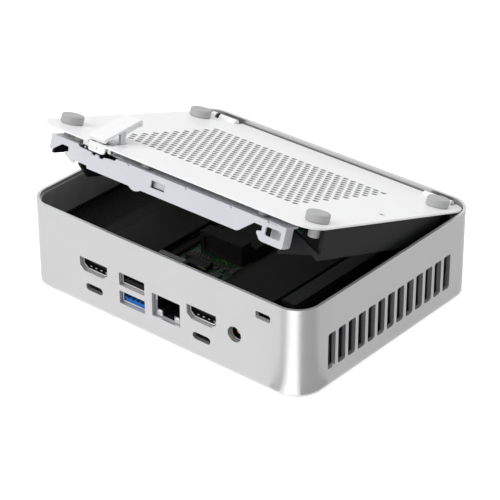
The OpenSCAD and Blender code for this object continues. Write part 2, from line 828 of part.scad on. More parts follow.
module air_holes() {
  row_step = hole_pitch * sin(60);
  for (row = [0 : hole_rows - 1]) {
    odd = row % 2;
    for (col = [0 : hole_cols - 1 - odd])
      translate([(col - (hole_cols - 1 - odd) / 2) * hole_pitch,
        (row - (hole_rows - 1) / 2) * row_step - 0.5])
        circle(hole_d / 2, $fn = 16);
  }
}

module foot_places() {
  for (sx = [-1, 1], sy = [-1, 1]) translate([sx * foot_x, sy * foot_y - 0.5]) children();
}

module lever_notch() {
  translate([lever_x - lever_w / 2 - notch_gap, cover_near - 1])
    square([lever_w + 2 * notch_gap, notch_end - cover_near + 1]);
}

// a straight slit for the cam, with a curved cut that springs from its near end
module cam_slit() {
  translate([cam_x - 0.8, slit_y - 1.6]) square([1.6, 6.6]);
  translate([cam_x + 0.85, slit_y + 4.5]) difference() {
    circle(6.4);
    circle(5.6);
    translate([-7, -4.3]) square([14, 12]);
    translate([-8, -8]) square([7.6, 16]);
  }
}

module cover_lug(x, t) {
  difference() {
    union() {
      x_rod(x, x + t, lever_y, lever_z, lug_r);
      block([x, lever_y - lug_r, lever_z], [x + t, lever_y + lug_r, cover_low + 0.01]);
    }
    x_rod(x - 1, x + t + 1, lever_y, lever_z, lever_pin_r + fit_gap / 2);
  }
}

module bottom_cover() {
  color(white) on_cover() difference() {
    union() {
      translate([0, 0, cover_low]) linear_extrude(cover_t) difference() {
        translate([0, (cover_near + cover_far) / 2]) round_rect(cover_w, cover_far - cover_near, cover_r);
        air_holes();
        foot_places() circle(stem_r + fit_gap);
        for (sx = [-1, 1]) {
          translate([sx * bracket_x, bracket_y]) circle(insert_r + fit_gap / 2);
          // the plate stops at the hinge axis along the barrels
          translate([sx * (barrel_in + barrel_out) / 2, hinge_y + 5])
            square([barrel_out - barrel_in + 0.6, 10], center = true);
          translate([sx * (tongue_x + tongue_t / 2), hinge_y])
            square([tongue_t + 2 * tongue_gap, 2 * barrel_r + 1], center = true);
        }
        lever_notch();
        cam_slit();
      }
      for (sx = [-1, 1]) {
        x_rod(min(sx * barrel_in, sx * barrel_mid), max(sx * barrel_in, sx * barrel_mid), hinge_y,
          hinge_z, barrel_r);
        x_rod(min(sx * (tongue_x + tongue_t + tongue_gap), sx * barrel_out),
          max(sx * (tongue_x + tongue_t + tongue_gap), sx * barrel_out), hinge_y, hinge_z, barrel_r);
      }
      cover_lug(lever_x - lever_w / 2 - notch_gap - lug_long, lug_long);
      cover_lug(lever_x + lever_w / 2 + notch_gap, lug_t);
    }
    for (sx = [-1, 1]) x_rod(min(sx * (barrel_in + 2), sx * (barrel_out + 1)),
      max(sx * (barrel_in + 2), sx * (barrel_out + 1)), hinge_y, hinge_z, hinge_pin_r);
  }
}

module hinge_pins() {
  color(steel) on_cover() for (sx = [-1, 1])
    x_rod(min(sx * (barrel_in + 2), sx * (barrel_out - 0.2)),
      max(sx * (barrel_in + 2), sx * (barrel_out - 0.2)), hinge_y, hinge_z, hinge_pin_r);
}

module foot(sx, sy) {
  color(foot_grey) on_cover() translate([sx * foot_x, sy * foot_y - 0.5, 0]) {
    translate([0, 0, cover_top]) cylinder(h = foot_h, r = foot_d / 2);
    translate([0, 0, cover_low - stem_len]) cylinder(h = cover_t + stem_len, r = stem_r);
  }
}

module bracket_inserts() {
  color(brass) on_cover() for (sx = [-1, 1])
    translate([sx * bracket_x, bracket_y, cover_top - insert_len]) difference() {
      cylinder(h = insert_len, r = insert_r);
      translate([0, 0, -1]) cylinder(h = insert_len + 2, r = insert_bore);
    }
}

module cover_carrier() {
  side_x = inner_x - 3.9;
  side_t = 1.5;
  side_low = rib_wall_low + 3.1;
  near = -inner_y + 12.3;
  far = hinge_y - 12.9;
  top_t = 1.5;
  web_x = side_x - 16.5;
  color(black) on_cover() {
    difference() {
      block([rib_wall_x, near, cover_low - top_t], [side_x + side_t, far, cover_low]);
      block([rib_wall_x + 4, near + 9.8, cover_low - 3], [side_x - 20.2, far - 6.4, cover_low + 1]);
      block([side_x - 9.2, near - 1, cover_low - 3], [side_x, near + 6.3, cover_low + 1]);
      for (sx = [-1, 1]) translate([sx * bracket_x, bracket_y, cover_low - 3]) cylinder(h = 4,
        r = insert_r + air_gap);
      block([lever_x - 4, near - 1, cover_low - 3], [lever_x + 9, slit_y + 5, cover_low + 1]);
    }
    // upright wall that drops into the channel beside the ribbed panel
    yz_plate(rib_wall_x, rib_wall_t) polygon([[rail_y + 1.6, rail_low - 0.2], [near - 4, rib_wall_low],
      [far, rib_wall_low],
      [far, cover_low - top_t + 0.1], [near, cover_low - top_t + 0.1], [near, rail_top - 1.4],
      [rail_y + 1.6, rail_top - 1.4]]);
    // side wall along the right short edge
    difference() {
      block([side_x, near, side_low], [side_x + side_t, far, cover_low - top_t + 0.1]);
      translate([bracket_x, bracket_y, cover_low - 8]) cylinder(h = 9, r = insert_r + air_gap);
    }
    // corner web with its sloping edges
    xz_plate(near - 1.5, 1.6) polygon([[web_x, rib_wall_low], [side_x - 1, rib_wall_low + 4.6],
      [side_x + side_t, side_low],
      [side_x + side_t, side_low + 2.8], [side_x - 11.6, side_low + 8], [web_x + 1.5, rail_top - 1.4],
        [web_x, rail_top - 1.4]]);
    block([web_x, near - 1.5, rail_top - 2.6], [web_x + 1.5, near + 6, rail_top - 1.4]);
    block([web_x, near, rail_top - 2.6], [web_x + 1.5, near + 6, cover_low - top_t + 0.1]);
    // screen beside the rail's left end, on a strap under the rail's flange
    block([rail_left + 0.6, near - 2.8, rail_top - 2.6], [rib_wall_x + 1, near - 1.6, rail_top - 1.4]);
    block([rail_left + 0.6, rail_y + 1.2, rail_low + 0.4], [rail_left + 1.8, near - 1.6,
      rail_top - rail_t - 0.4]);
  }
}

module rail_guides() {
  color(rail_grey) on_cover() for (x = guide_x) translate([x, guide_y, 0]) {
    translate([0, 0, rail_top + 0.3]) cylinder(h = cover_low - rail_top - 0.3, r = guide_head);
    translate([0, 0, rail_top - rail_t - 0.8]) cylinder(h = rail_t + 1.2, r = guide_shank);
    translate([0, 0, rail_top - rail_t - 1.2]) cylinder(h = 0.9, r = guide_head);
  }
}

module lever_pin() {
  low = lever_x - lever_w / 2 - notch_gap - lug_t;
  high = lever_x + lever_w / 2 + notch_gap + lug_t;
  color(steel) on_cover() x_rod(low, high, lever_y, lever_z, lever_pin_r);
}

// fixed plate that closes the notch in front of the lever, held by a web on the pin
module lever_bracket() {
  web_x0 = lever_x + 0.8;
  web_x1 = web_x0 + 1.2;
  low = lever_x - lever_w / 2;
  high = lever_x + lever_w / 2;
  color(white) on_cover() difference() {
    union() {
      xz_plate(tab_face, tab_t) {
        translate([low, tab_low + 1.6]) square([lever_w, cover_top - tab_low - 1.6]);
        translate([low + 1, tab_low]) square([lever_w - 2.6, 2]);
        translate([low + 1, tab_low + 1]) circle(1);
        translate([low, tab_low + 1]) square([2, 1]);
        translate([high - 1.6, tab_low + 1.6]) circle(1.6);
      }
      block([web_x0, tab_face + tab_t - 0.01, lever_z - 0.6], [web_x1, lever_y, lever_z + 1.3]);
      x_rod(web_x0, web_x1, lever_y, lever_z, lug_r);
      block([web_x0, lever_y - 0.6, cover_low - 0.7], [web_x1, notch_end + 1.4, cover_low]);
    }
    x_rod(web_x0 - 1, web_x1 + 1, lever_y, lever_z, lever_pin_r + fit_gap / 2);
    y_rod(lever_x + 0.1, tab_face - 1, tab_face + 0.5, lever_z - 0.3, 0.55);
  }
}

// rail and lever

// the rail's long face: left hook, right hook, then the dip under the lever
module rail_outline() {
  left_hook = [
    [0, rail_h], [0, 2.6], [0.4, 2], [1.6, 1.9], [2, 2.5],
    // mouth, pocket and tongue
    [6.2, 5.5], [9.8, 5.5], [10, 3.6], [8.1, 3], [8.4, 2], [10.2, 1.2], [12.5, 0], [13.6, 0],
    [14, 1.1], [20.6, 1.1], [21, 0]];
  right_hook = [
    [-22.2, 0], [-21.2, 0.4], [-14.8, 5.5], [-10.9, 5.5], [-10.7, 3.6], [-12.9, 3], [-12.9, 2.2],
    [-11, 0], [-9.8, -0.3], [-0.6, -0.3], [0, 0.3], [0, rail_h]];
  dip = [
    [10.3, 0], [10.1, -0.9], [6.1, -1.2], [3.9, -1.5], [3.5, -2.3], [1.7, -2.3], [1.3, -1.4],
    [-0.3, -1.3], [-0.6, -2], [-2.2, -2], [-2.5, -1.2], [-9.1, -0.9], [-9.9, -0.5], [-10.1, 0]];
  polygon(concat([for (p = left_hook) [rail_left + p[0], rail_low + p[1]]],
    [for (p = right_hook) [rail_right + p[0], rail_low + p[1]]],
    [for (p = dip) [lever_x + p[0], rail_top + p[1]]]));
}

module rail_face() {
  difference() {
    rail_outline();
    translate([lever_x + 33.1, rail_low + 4.2]) square([7, 3], center = true);
    translate([rail_right - 5.4, rail_low + 4.2]) round_rect(7.3, 3.5, 0.9);
    for (x = [lever_x + 17, lever_x + 46.7, rail_right - 26.5])
      translate([x, rail_top]) polygon([[-0.9, 0.1], [0.9, 0.1], [0, -1]]);
    translate([rail_right - 6.2, rail_top]) square([5.4, 1.4], center = true);
  }
  // rounded bump below the lower edge
  translate([lever_x + 22, rail_low]) intersection() {
    translate([0, 3.6]) circle(4.7);
    translate([-4, -1.1]) square([8, 1.3]);
  }
}

module rail_flange_plate() {
  flange_y = rail_y + rail_flange;
  slot = rail_travel + 2 * guide_shank + 0.6;
  recess = [lever_x - 10.1, lever_x + 10.3];
  difference() {
    union() {
      translate([rail_left + 0.5, rail_y + rail_t - 0.01]) square([recess[0] - rail_left - 0.5,
        rail_flange - rail_t]);
      translate([recess[0], rail_y + rail_t + 3.4]) square([recess[1] - recess[0],
        rail_flange - rail_t - 3.4]);
      translate([recess[1], rail_y + rail_t - 0.01]) square([rail_right - recess[1], rail_flange - rail_t]);
    }
    for (x = guide_x) translate([x + rail_travel / 2, guide_y])
      round_rect(slot, 2 * guide_shank + 0.6, guide_shank + 0.29);
    translate([lever_x + 0.8, flange_y - 2.8]) square([8, 4], center = true);
  }
}

module latch_rail() {
  lip_x = [lever_x + 29.3, lever_x + 35.5];
  lip_y = rail_y + rail_t + 1.1;
  back_y = rail_y + 4.4;
  color(rail_grey) on_cover() {
    xz_plate(rail_y, rail_t) rail_face();
    translate([0, 0, rail_top - rail_t]) linear_extrude(rail_t) rail_flange_plate();
    // rounded return at the right end
    yz_plate(rail_right - rail_t, rail_t) translate([rail_y + 2.4, rail_low + 3.95]) round_rect(4.8,
      8.3, 1);
    // lip bent in behind the small window
    block([lip_x[0], rail_y + rail_t - 0.01, rail_low + 5.8], [lip_x[1], lip_y + 0.6, rail_low + 6.4]);
    block([lip_x[0], lip_y, rail_low + 2.8], [lip_x[1], lip_y + 0.6, rail_low + 6.4]);
    // plate bent down behind the rounded window
    block([rail_right - 9.4, back_y, rail_low + 0.8], [rail_right - 1.8, back_y + 0.7,
      rail_top - rail_t / 2]);
  }
}

// the lever's side, closed: a bar whose thick end lies on the cover
module lever_profile() {
  tip = lever_y + lever_len;
  under = lever_top - lever_t;
  low = cover_top + 0.15;
  polygon([[lever_face + 0.6, under - 0.85], [lever_face, lever_top - 0.25], [lever_face + 0.4, lever_top],
    [tip - 1.4, lever_top], [tip - 0.4, lever_top - 0.3], [tip, lever_top - 1.1], [tip, low + 0.9],
    [tip - 0.7, low + 0.2], [tip - 2.6, low], [notch_end + 4, low], [notch_end + 2.6, low + 0.9],
    [notch_end + 1.4, under - 0.2], [notch_end - 1, under], [lever_y + 1.2, under],
    [lever_y, under - 0.2]]);
}

module lever_ear(x) {
  difference() {
    union() {
      x_rod(x, x + ear_t, lever_y, lever_z, ear_r);
      yz_plate(x, ear_t) polygon([[lever_y - ear_r, lever_z], [lever_y - 0.5, lever_z + 2.4],
        [lever_face + 0.6, lever_top - lever_t - 0.85], [lever_y - 1.4, lever_top - 0.5], [lever_y + 3,
          lever_top - 0.5],
        [lever_y + ear_r, lever_z + 1.2], [lever_y + ear_r, lever_z]]);
    }
    x_rod(x - 1, x + ear_t + 1, lever_y, lever_z, lever_pin_r + pin_gap);
  }
}

module latch_lever() {
  left = lever_x - lever_w / 2;
  tip = lever_y + lever_len;
  color(white) on_lever() {
    difference() {
      yz_plate(left, lever_w) lever_profile();
      // hollow in the thick end, open below
      block([left + 1.2, notch_end + 3, cover_top - 1], [left + lever_w - 1.6, tip - 1.6,
        lever_top - lever_t]);
      // the right flank starts behind the cam
      block([left + lever_w - 1.7, lever_y, cover_top - 1], [left + lever_w + 1, slit_y + 4.2,
        lever_top - lever_t]);
      // shallow grip in the right flank
      block([left + lever_w - 0.7, notch_end + 4.6, cover_top - 1], [left + lever_w + 1, tip - 1.4,
        lever_top - lever_t]);
    }
    lever_ear(left);
    lever_ear(lever_x - 1.1);
  }
}

module lever_cam() {
  top = lever_top - lever_t;
  color(rail_grey) on_lever() yz_plate(cam_x - 0.5, 1) polygon([[slit_y + 1.2, top], [slit_y + 3.8, top],
    [slit_y + 3.8, cover_top - 0.4], [slit_y + 3.2, cover_top - 3.6], [slit_y + 0.7, cover_top - 3.1]]);
}

outer_shell();
mid_frame();
main_board();
board_screws();
hdmi_socket(port_left_x);  // hdmi_socket_left
hdmi_socket(port_right_x);  // hdmi_socket_right
hdmi_tongue(port_left_x);  // hdmi_tongue_left
hdmi_tongue(port_right_x);  // hdmi_tongue_right
usb_c_socket(port_left_x, port_low_z, sock_y, oval_len);  // usb_c_socket_left
usb_c_socket(port_right_x, port_low_z, sock_y, oval_len);  // usb_c_socket_right
usb_a_stack();
color(black) usb_tongue(usb_high_z);  // usb_tongue_black
color(blue) usb_tongue(usb_low_z);  // usb_tongue_blue
lan_socket();
power_inlet();
power_inlet_pin();
port_block(port_left_x);  // port_block_left
port_block(port_right_x);  // port_block_right
front_usb(front_usb_x[0]);  // front_usb_left
front_usb(front_usb_x[1]);  // front_usb_right
front_usb_c();
power_button();
power_switch();
status_light();
fan_housing();
fan_rotor();
fin_stack();
heat_pipe(pipe_near_y, -1, fin_near + 2);  // heat_pipe_near
heat_pipe(pipe_far_y, 1, fin_far - 2);  // heat_pipe_far
cold_plate();
processor();
ssd();
ssd_heatsink();
ssd_socket();
ssd_screw();
spare_ssd_socket();
ribbon_connector();
memory_socket();
memory_module(memory_z);  // memory_module_lower
memory_module(memory_z + memory_step);  // memory_module_upper
memory_shield();
wireless_card();
coin_cell();
mirror([1, 0, 0]) hinge_bracket();  // hinge_bracket_left
hinge_bracket();  // hinge_bracket_right
catch_pins();
bottom_cover();
cover_carrier();
hinge_pins();
foot(-1, -1);  // foot_near_left
foot(1, -1);  // foot_near_right
foot(-1, 1);  // foot_far_left
foot(1, 1);  // foot_far_right
bracket_inserts();
rail_guides();
lever_pin();
lever_bracket();
latch_rail();
latch_lever();
lever_cam();
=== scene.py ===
import bpy, json, math
from mathutils import Matrix, Vector

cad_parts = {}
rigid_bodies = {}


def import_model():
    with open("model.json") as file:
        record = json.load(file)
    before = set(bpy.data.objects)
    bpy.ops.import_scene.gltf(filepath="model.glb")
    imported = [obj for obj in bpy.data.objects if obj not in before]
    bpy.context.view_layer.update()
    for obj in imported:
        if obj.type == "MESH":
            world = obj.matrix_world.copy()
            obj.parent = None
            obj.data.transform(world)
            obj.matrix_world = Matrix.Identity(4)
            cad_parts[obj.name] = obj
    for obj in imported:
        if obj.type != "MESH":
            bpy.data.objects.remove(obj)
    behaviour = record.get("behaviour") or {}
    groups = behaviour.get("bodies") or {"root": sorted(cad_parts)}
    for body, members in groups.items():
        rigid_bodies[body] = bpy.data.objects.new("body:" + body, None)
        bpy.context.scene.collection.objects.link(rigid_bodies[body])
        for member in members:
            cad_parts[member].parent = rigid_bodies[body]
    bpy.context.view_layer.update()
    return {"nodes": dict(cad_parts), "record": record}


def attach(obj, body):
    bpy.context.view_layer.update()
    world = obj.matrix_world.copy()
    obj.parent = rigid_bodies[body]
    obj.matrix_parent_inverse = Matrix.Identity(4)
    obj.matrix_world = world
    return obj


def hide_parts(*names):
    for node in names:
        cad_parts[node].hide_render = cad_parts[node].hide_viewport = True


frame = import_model()
bodyOf = {}
for bodyName, members in frame["record"]["behaviour"]["bodies"].items():
    for member in members:
        bodyOf[member] = bodyName
print("frame loaded:", len(bodyOf), "nodes")

# materials
finishes = {
    # grain is the size and depth the height of the fine bump, both in metres; swing and roughSwing are how far
    # colour and roughness wander
    "shellMetal": dict(base=(0.62, 0.62, 0.625), metallic=0.75, roughness=0.34,
                       grain=0.00022, depth=0.000012, swing=0.02, roughSwing=0.06),
    "holeShade": dict(base=(0.42, 0.42, 0.425), metallic=0.0, roughness=0.6,
                      grain=0.0006, depth=0.000004, swing=0.02, roughSwing=0.05),
    "coverPaint": dict(base=(0.84, 0.84, 0.845), metallic=0.0, roughness=0.38,
                       grain=0.0006, depth=0.000008, swing=0.01, roughSwing=0.05),
    "leverPaint": dict(base=(0.84, 0.84, 0.845), metallic=0.0, roughness=0.33,
                       grain=0.0005, depth=0.000006, swing=0.01, roughSwing=0.04),
    "railPaint": dict(base=(0.6, 0.61, 0.645), metallic=0.3, roughness=0.36,
                      grain=0.0004, depth=0.000006, swing=0.03, roughSwing=0.08),
    "footRubber": dict(base=(0.4, 0.4, 0.402), metallic=0.0, roughness=0.62,
                       grain=0.00035, depth=0.00002, swing=0.05, roughSwing=0.08),
    "blackPlastic": dict(base=(0.007, 0.007, 0.0075), metallic=0.0, roughness=0.46,
                         grain=0.0003, depth=0.00002, swing=0.25, specular=0.22, roughSwing=0.08),
    "blackMatte": dict(base=(0.008, 0.008, 0.0083), metallic=0.0, roughness=0.62,
                       grain=0.0003, depth=0.00002, swing=0.2, specular=0.12, roughSwing=0.08),
    "heatsinkBlack": dict(base=(0.007, 0.007, 0.0073), metallic=0.0, roughness=0.55,
                          grain=0.0002, depth=0.00001, swing=0.1, specular=0.13, roughSwing=0.1),
    "platedSteel": dict(base=(0.62, 0.62, 0.63), metallic=1.0, roughness=0.3,
                        grain=0.0004, depth=0.000005, swing=0.05, roughSwing=0.12),
    "finMetal": dict(base=(0.3, 0.3, 0.31), metallic=1.0, roughness=0.34,
                     grain=0.0005, depth=0.000005, swing=0.04, roughSwing=0.1),
    "copperPipe": dict(base=(0.72, 0.34, 0.19), metallic=1.0, roughness=0.34,
                       grain=0.001, depth=0.000005, swing=0.12, roughSwing=0.15),
    "brassTurned": dict(base=(0.72, 0.53, 0.24), metallic=1.0, roughness=0.28,
                        grain=0.0005, depth=0.000004, swing=0.05, roughSwing=0.08),
    "goldContact": dict(base=(0.83, 0.58, 0.22), metallic=1.0, roughness=0.25,
                        grain=0.0005, depth=0.000002, swing=0.04, roughSwing=0.08),
    "bluePlastic": dict(base=(0.004, 0.14, 0.52), metallic=0.0, roughness=0.42, specular=0.2,
                        grain=0.0004, depth=0.000006, swing=0.08, roughSwing=0.06),
    "tongueBlack": dict(base=(0.008, 0.008, 0.0083), metallic=0.0, roughness=0.6, specular=0.15,
                        grain=0.0004, depth=0.000006, swing=0.1, roughSwing=0.06),
    # near-black for the ports: painted shade on the socket shells and the tongue notches, and the insert's own black
    "socketBlackAndShade": dict(base=(0.012, 0.012, 0.012), metallic=0.0, roughness=0.6,
                       grain=0.0004, depth=0.000004, swing=0.1, specular=0.2, roughSwing=0.06),
    "chipBlack": dict(base=(0.018, 0.018, 0.02), metallic=0.0, roughness=0.5,
                      grain=0.0002, depth=0.00001, swing=0.2, roughSwing=0.1),
    "brightSteel": dict(base=(0.85, 0.85, 0.86), metallic=0.4, roughness=0.3,
                        grain=0.0004, depth=0.000004, swing=0.03, roughSwing=0.08),
    "jackSteel": dict(base=(0.3, 0.3, 0.31), metallic=0.7, roughness=0.35,
                      grain=0.0004, depth=0.000004, swing=0.05, roughSwing=0.1),
    "greySteel": dict(base=(0.5, 0.5, 0.51), metallic=0.4, roughness=0.4,
                      grain=0.0004, depth=0.000004, swing=0.05, roughSwing=0.08),
    "guideSteel": dict(base=(0.26, 0.26, 0.265), metallic=0.6, roughness=0.45,
                       grain=0.0004, depth=0.000005, swing=0.05, roughSwing=0.08),
    "insertMetal": dict(base=(0.8, 0.8, 0.8), metallic=0.1, roughness=0.45,
                        grain=0.0004, depth=0.000005, swing=0.04, roughSwing=0.08),
    # painted shade for the inner walls of the shell
    "paintedInnerShade": dict(base=(0.36, 0.36, 0.362), metallic=0.0, roughness=0.6,
                      grain=0.0006, depth=0.00003, swing=0.15, roughSwing=0.1),
    "ribbonGrey": dict(base=(0.11, 0.11, 0.112), metallic=0.0, roughness=0.5,
                       grain=0.0003, depth=0.00001, swing=0.12, roughSwing=0.06),
    "ceramicTan": dict(base=(0.05, 0.04, 0.03), metallic=0.0, roughness=0.4,
                       grain=0.0003, depth=0.000004, swing=0.1, roughSwing=0.05),
    "lightLens": dict(base=(0.8, 0.84, 0.9), metallic=0.0, roughness=0.2,
                      grain=0.0005, depth=0.000002, swing=0.02, roughSwing=0.02),
    "fanBlack": dict(base=(0.02, 0.02, 0.022), metallic=0.0, roughness=0.45,
                     grain=0.0005, depth=0.00001, swing=0.15, roughSwing=0.06),
}


def addNode(mat, kind, **places):
    node = mat.node_tree.nodes.new(kind)
    for key, value in places.items():
        node.inputs[key].default_value = value
    return node


def makeFinish(name, f):
    mat = bpy.data.materials.new(name)
    mat.use_nodes = True
    links = mat.node_tree.links
    shader = mat.node_tree.nodes["Principled BSDF"]
    shader.inputs["Metallic"].default_value = f["metallic"]
    shader.inputs["Specular IOR Level"].default_value = f.get("specular", 0.5)
    place = addNode(mat, "ShaderNodeTexCoord")
    grain = addNode(mat, "ShaderNodeTexNoise", Scale=1.0 / f["grain"], Detail=3.0, Roughness=0.6)
    patch = addNode(mat, "ShaderNodeTexNoise", Scale=55.0, Detail=4.0, Roughness=0.55)
    for texture in (grain, patch):
        links.new(place.outputs["Object"], texture.inputs["Vector"])
    tint = addNode(mat, "ShaderNodeValToRGB")
    low, high = tint.color_ramp.elements[0], tint.color_ramp.elements[1]
    low.position, high.position = 0.3, 0.7
    low.color = [c * (1 - f["swing"]) for c in f["base"]] + [1]
    high.color = [min(1, c * (1 + f["swing"])) for c in f["base"]] + [1]
    links.new(patch.outputs[0], tint.inputs["Fac"])
    links.new(tint.outputs["Color"], shader.inputs["Base Color"])
    rough = addNode(mat, "ShaderNodeMapRange")
    rough.inputs["From Min"].default_value, rough.inputs["From Max"].default_value = 0.3, 0.7
    rough.inputs["To Min"].default_value = f["roughness"] - f["roughSwing"] / 2
    rough.inputs["To Max"].default_value = f["roughness"] + f["roughSwing"] / 2
    links.new(grain.outputs[0], rough.inputs["Value"])
    links.new(rough.outputs["Result"], shader.inputs["Roughness"])
    bump = addNode(mat, "ShaderNodeBump", Strength=0.6, Distance=f["depth"])
    links.new(grain.outputs[0], bump.inputs["Height"])
    links.new(bump.outputs["Normal"], shader.inputs["Normal"])
    return mat


materials = {name: makeFinish(name, f) for name, f in finishes.items()}


def makeBoardFinish(name, base, trace, pitch):
    mat = bpy.data.materials.new(name)
    mat.use_nodes = True
    links = mat.node_tree.links
    shader = mat.node_tree.nodes["Principled BSDF"]
    shader.inputs["Roughness"].default_value = 0.35
    place = addNode(mat, "ShaderNodeTexCoord")
    tracks = addNode(mat, "ShaderNodeTexBrick", Scale=1.0 / pitch)
    tracks.inputs["Color1"].default_value = base + (1,)
    tracks.inputs["Color2"].default_value = tuple(c * 0.8 for c in base) + (1,)
    tracks.inputs["Mortar"].default_value = trace + (1,)
    tracks.inputs["Mortar Size"].default_value = 0.03
    tracks.inputs["Brick Width"].default_value = 1.7
    tracks.inputs["Row Height"].default_value = 0.35
    vias = addNode(mat, "ShaderNodeTexVoronoi", Scale=700.0)
    links.new(place.outputs["Object"], tracks.inputs["Vector"])
    links.new(place.outputs["Object"], vias.inputs["Vector"])
    dot = addNode(mat, "ShaderNodeMath", )
    dot.operation = "LESS_THAN"
    dot.inputs[1].default_value = 0.16
    links.new(vias.outputs["Distance"], dot.inputs[0])
    mix = addNode(mat, "ShaderNodeMix")
    mix.data_type = "RGBA"
    links.new(dot.outputs[0], mix.inputs["Factor"])
    links.new(tracks.outputs["Color"], mix.inputs["A"])
    mix.inputs["B"].default_value = (0.35, 0.3, 0.14, 1)
    links.new(mix.outputs["Result"], shader.inputs["Base Color"])
    bump = addNode(mat, "ShaderNodeBump", Strength=0.4, Distance=0.00003)
    links.new(tracks.outputs["Fac"], bump.inputs["Height"])
    links.new(bump.outputs["Normal"], shader.inputs["Normal"])
    return mat


materials["boardGreen"] = makeBoardFinish("boardGreen", (0.003, 0.022, 0.006), (0.008, 0.05, 0.016), 0.004)
materials["boardBlack"] = makeBoardFinish("boardBlack", (0.008, 0.01, 0.009), (0.02, 0.028, 0.022), 0.003)
print("materials made:", len(materials))

# tools for pieces


def clearSelection():
    if bpy.context.object and bpy.context.object.mode != "OBJECT":
        bpy.ops.object.mode_set(mode="OBJECT")
    bpy.ops.object.select_all(action="DESELECT")


def makeActive(piece):
    clearSelection()
    piece.select_set(True)
    bpy.context.view_layer.objects.active = piece


def applyModifiers(piece):
    makeActive(piece)
    for modifier in list(piece.modifiers):
        bpy.ops.object.modifier_apply(modifier=modifier.name)


def bevelEdges(piece, width, segments, angle=32):
    bevel = piece.modifiers.new("softEdge", "BEVEL")
    bevel.width = width
    bevel.segments = segments
    bevel.limit_method = "ANGLE"
    bevel.angle_limit = math.radians(angle)
    bevel.use_clamp_overlap = True
    applyModifiers(piece)


def settle(piece, name, finish, body, stands=()):
    # place goes into the mesh, then finish, shading and body
    makeActive(piece)
    bpy.ops.object.transform_apply(location=True, rotation=True, scale=True)
    piece.name = name
    piece.data.name = name
    piece.data.materials.clear()
    piece.data.materials.append(materials[finish])
    bpy.ops.object.shade_smooth_by_angle(angle=math.radians(34))
    even = piece.modifiers.new("evenShade", "WEIGHTED_NORMAL")
    even.keep_sharp = True
    applyModifiers(piece)
    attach(piece, body)
    if stands:
        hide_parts(*stands)
    return piece


def softCopy(node, name, finish, width, segments=2, angle=32):
    # a merged copy of a node with softened edges, which stands for it
    clearSelection()
    source = frame["nodes"][node]
    source.hide_set(False)
    source.select_set(True)
    bpy.context.view_layer.objects.active = source
    bpy.ops.object.duplicate(linked=False)
    piece = bpy.context.view_layer.objects.active
    bpy.ops.object.parent_clear(type="CLEAR_KEEP_TRANSFORM")
    bpy.ops.object.mode_set(mode="EDIT")
    bpy.ops.mesh.select_all(action="SELECT")
    bpy.ops.mesh.remove_doubles(threshold=0.000002)
    bpy.ops.mesh.dissolve_limited(angle_limit=math.radians(0.4))
    bpy.ops.object.mode_set(mode="OBJECT")
    if width:
        bevelEdges(piece, width, segments, angle)
    return settle(piece, name, finish, bodyOf[node], (node,))


def paintFaces(piece, finish, wanted):
    # a second finish on the faces that wanted(centre, normal) picks
    piece.data.materials.append(materials[finish])
    place = len(piece.data.materials) - 1
    for face in piece.data.polygons:
        if wanted(face.center, face.normal):
            face.material_index = place


def blockPiece(low, high):
    clearSelection()
    low, high = Vector(low), Vector(high)
    bpy.ops.mesh.primitive_cube_add(size=1, location=(low + high) / 2)
    piece = bpy.context.object
    piece.scale = high - low
    bpy.ops.object.transform_apply(location=True, rotation=True, scale=True)
    return piece


def copyAt(piece, offset):
    twin = piece.copy()
    twin.data = piece.data.copy()
    bpy.context.collection.objects.link(twin)
    twin.data.transform(Matrix.Translation(offset))
    return twin


def joinPieces(pieces):
    clearSelection()
    for piece in pieces:
        piece.select_set(True)
    bpy.context.view_layer.objects.active = pieces[0]
    bpy.ops.object.join()
    return bpy.context.object


# nodes kept as they are
nodeFinish = {
    "outer_shell": "shellMetal", "bottom_cover": "coverPaint", "latch_lever": "leverPaint",
    "latch_rail": "railPaint", "lever_cam": "railPaint", "rail_guides": "guideSteel",
    "hinge_pins": "platedSteel", "lever_pin": "platedSteel", "bracket_inserts": "insertMetal",
    "cover_carrier": "blackPlastic", "mid_frame": "blackMatte", "main_board": "boardGreen",
    "board_screws": "platedSteel", "hdmi_socket_left": "platedSteel", "hdmi_socket_right": "platedSteel",
    "hdmi_tongue_left": "blackPlastic", "hdmi_tongue_right": "blackPlastic", "usb_c_socket_left": "platedSteel",
    "usb_c_socket_right": "platedSteel", "usb_a_stack": "platedSteel", "usb_tongue_black": "tongueBlack",
    "usb_tongue_blue": "bluePlastic", "lan_socket": "blackPlastic", "power_inlet": "blackPlastic",
    "power_inlet_pin": "brassTurned", "port_block_left": "blackPlastic", "port_block_right": "blackPlastic",
    "front_usb_left": "platedSteel", "front_usb_right": "platedSteel", "front_usb_c": "platedSteel",
    "power_button": "shellMetal", "power_switch": "blackMatte", "status_light": "lightLens",
    "fan_housing": "fanBlack", "fan_rotor": "fanBlack", "fin_stack": "finMetal", "heat_pipe_near": "copperPipe",
    "heat_pipe_far": "copperPipe", "cold_plate": "copperPipe", "processor": "chipBlack", "ssd": "boardBlack",
    "ssd_heatsink": "heatsinkBlack", "ssd_socket": "blackPlastic", "ssd_screw": "platedSteel",
    "spare_ssd_socket": "blackMatte", "ribbon_connector": "blackPlastic", "memory_shield": "blackMatte",
    "lever_bracket": "leverPaint", "memory_socket": "blackPlastic", "memory_module_lower": "boardGreen",
    "memory_module_upper": "boardGreen", "wireless_card": "platedSteel", "coin_cell": "platedSteel",
    "hinge_bracket_left": "blackPlastic", "hinge_bracket_right": "blackPlastic", "catch_pins": "platedSteel",
    "foot_near_left": "footRubber", "foot_near_right": "footRubber", "foot_far_left": "footRubber",
    "foot_far_right": "footRubber",
}
for node, finish in nodeFinish.items():
    slots = frame["nodes"][node].material_slots
    for slot in slots:
        slot.material = materials[finish]
    if not slots:
        frame["nodes"][node].data.materials.append(materials[finish])
print("finishes given to", len(nodeFinish), "nodes")

